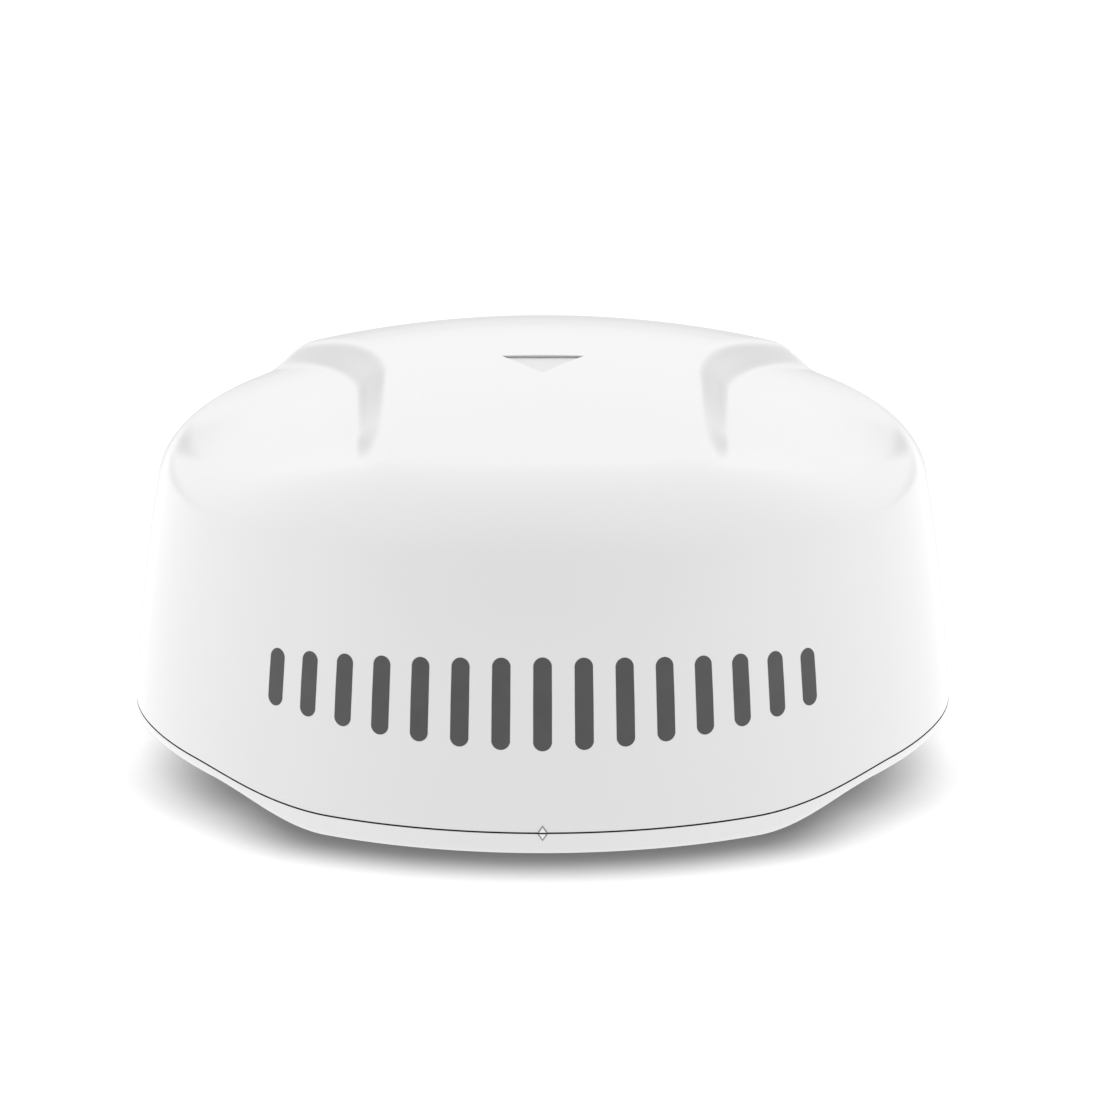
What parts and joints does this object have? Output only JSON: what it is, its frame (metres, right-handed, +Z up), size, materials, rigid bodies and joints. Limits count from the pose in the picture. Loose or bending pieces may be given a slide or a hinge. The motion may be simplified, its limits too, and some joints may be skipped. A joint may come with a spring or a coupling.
{
  "type": "radar dome antenna",
  "caption": "Closed marine radome: white moulded dome cover with lowered side decks on a shallow base, scanning antenna array on a geared pedestal inside.",
  "frame": {"origin": "centre of the mounting plane, in the underside face of the four mounting pads", "axes": "+Z up along the antenna's spin axis, the front of the cover faces -Y, +X to the right seen from above with the front towards the viewer"},
  "size_m": [0.5068, 0.5078, 0.25],
  "materials": {
    "cover": "smooth gloss",
    "base": "smooth satin gloss",
    "rubber": "matte",
    "steel": "turned and passivated",
    "brass": "machined",
    "aluminium": "cast or bent, lightly blasted",
    "dark_plastic": "moulded, fine texture",
    "circuit_board": "solder mask with dark components",
    "patch_board": "laminate with metal patches",
    "acetal": "machined, waxy",
    "motor": "black lacquer",
    "cable": "smooth jacket"
  },
  "bodies": {
    "base": {"base_housing": "base", "rim_gasket": "rubber", "mount_insert_front_left": "brass", "mount_insert_front_right": "brass", "mount_insert_rear_left": "brass", "mount_insert_rear_right": "brass", "power_connector": "dark_plastic", "power_connector_nut": "brass", "power_harness": "cable", "network_connector": "dark_plastic", "network_connector_nut": "brass", "network_harness": "cable", "vent_plug": "dark_plastic", "ground_screw": "steel", "main_board": "circuit_board", "rf_module_housing": "aluminium", "rf_module_lid": "aluminium", "pedestal": "aluminium", "pedestal_screw_right": "steel", "pedestal_screw_rear": "steel", "pedestal_screw_left": "steel", "lower_bearing_outer_race": "steel", "upper_bearing_outer_race": "steel", "drive_motor": "motor", "motor_bracket": "aluminium", "motor_screw_front": "steel", "motor_screw_rear": "steel", "motor_cable": "cable", "rotary_joint_stator": "brass", "position_sensor": "dark_plastic"},
    "radome": {"radome": "cover", "radome_insert_front_left": "brass", "radome_insert_front_right": "brass", "radome_insert_rear_left": "brass", "radome_insert_rear_right": "brass"},
    "antenna": {"antenna_shaft": "steel", "shaft_retaining_ring": "steel", "main_gear": "acetal", "index_magnet": "steel", "lower_bearing_inner_race": "steel", "upper_bearing_inner_race": "steel", "rotary_joint_rotor": "brass", "array_bracket": "aluminium", "array_backplate": "aluminium", "array_board": "patch_board", "array_end_cap_left": "dark_plastic", "array_end_cap_right": "dark_plastic", "feed_cable": "cable"},
    "motor_rotor": {"motor_shaft": "steel", "pinion": "brass"},
    "lower_ball_set": {"lower_bearing_balls": "steel"},
    "upper_ball_set": {"upper_bearing_balls": "steel"},
    "captive_screw_front_left": {"captive_screw_front_left": "steel", "seal_washer_front_left": "rubber"},
    "captive_screw_front_right": {"captive_screw_front_right": "steel", "seal_washer_front_right": "rubber"},
    "captive_screw_rear_left": {"captive_screw_rear_left": "steel", "seal_washer_rear_left": "rubber"},
    "captive_screw_rear_right": {"captive_screw_rear_right": "steel", "seal_washer_rear_right": "rubber"}
  },
  "joints": [
    {"name": "radome_lift", "type": "slide", "parent": "base", "child": "radome", "axis": [0, 0, 1], "range_m": [0, 0.26]},
    {"name": "antenna_spin", "type": "hinge", "parent": "base", "child": "antenna", "pos_m": [0, 0, 0.06], "axis": [0, 0, 1], "continuous": true},
    {"name": "motor_spin", "type": "hinge", "parent": "base", "child": "motor_rotor", "pos_m": [-0.06, 0, 0.056], "axis": [0, 0, 1], "continuous": true},
    {"name": "lower_ball_set_spin", "type": "hinge", "parent": "base", "child": "lower_ball_set", "pos_m": [0, 0, 0.0213], "axis": [0, 0, 1], "continuous": true},
    {"name": "upper_ball_set_spin", "type": "hinge", "parent": "base", "child": "upper_ball_set", "pos_m": [0, 0, 0.0507], "axis": [0, 0, 1], "continuous": true},
    {"name": "captive_screw_front_left_slide", "type": "slide", "parent": "base", "child": "captive_screw_front_left", "axis": [0, 0, 1], "range_m": [-0.013, 0]},
    {"name": "captive_screw_front_right_slide", "type": "slide", "parent": "base", "child": "captive_screw_front_right", "axis": [0, 0, 1], "range_m": [-0.013, 0]},
    {"name": "captive_screw_rear_left_slide", "type": "slide", "parent": "base", "child": "captive_screw_rear_left", "axis": [0, 0, 1], "range_m": [-0.013, 0]},
    {"name": "captive_screw_rear_right_slide", "type": "slide", "parent": "base", "child": "captive_screw_rear_right", "axis": [0, 0, 1], "range_m": [-0.013, 0]}
  ],
  "couplings": [
    {"joint": "motor_spin", "follows": "antenna_spin", "ratio": -4},
    {"joint": "lower_ball_set_spin", "follows": "antenna_spin", "ratio": 0.4266},
    {"joint": "upper_ball_set_spin", "follows": "antenna_spin", "ratio": 0.4266}
  ]
}
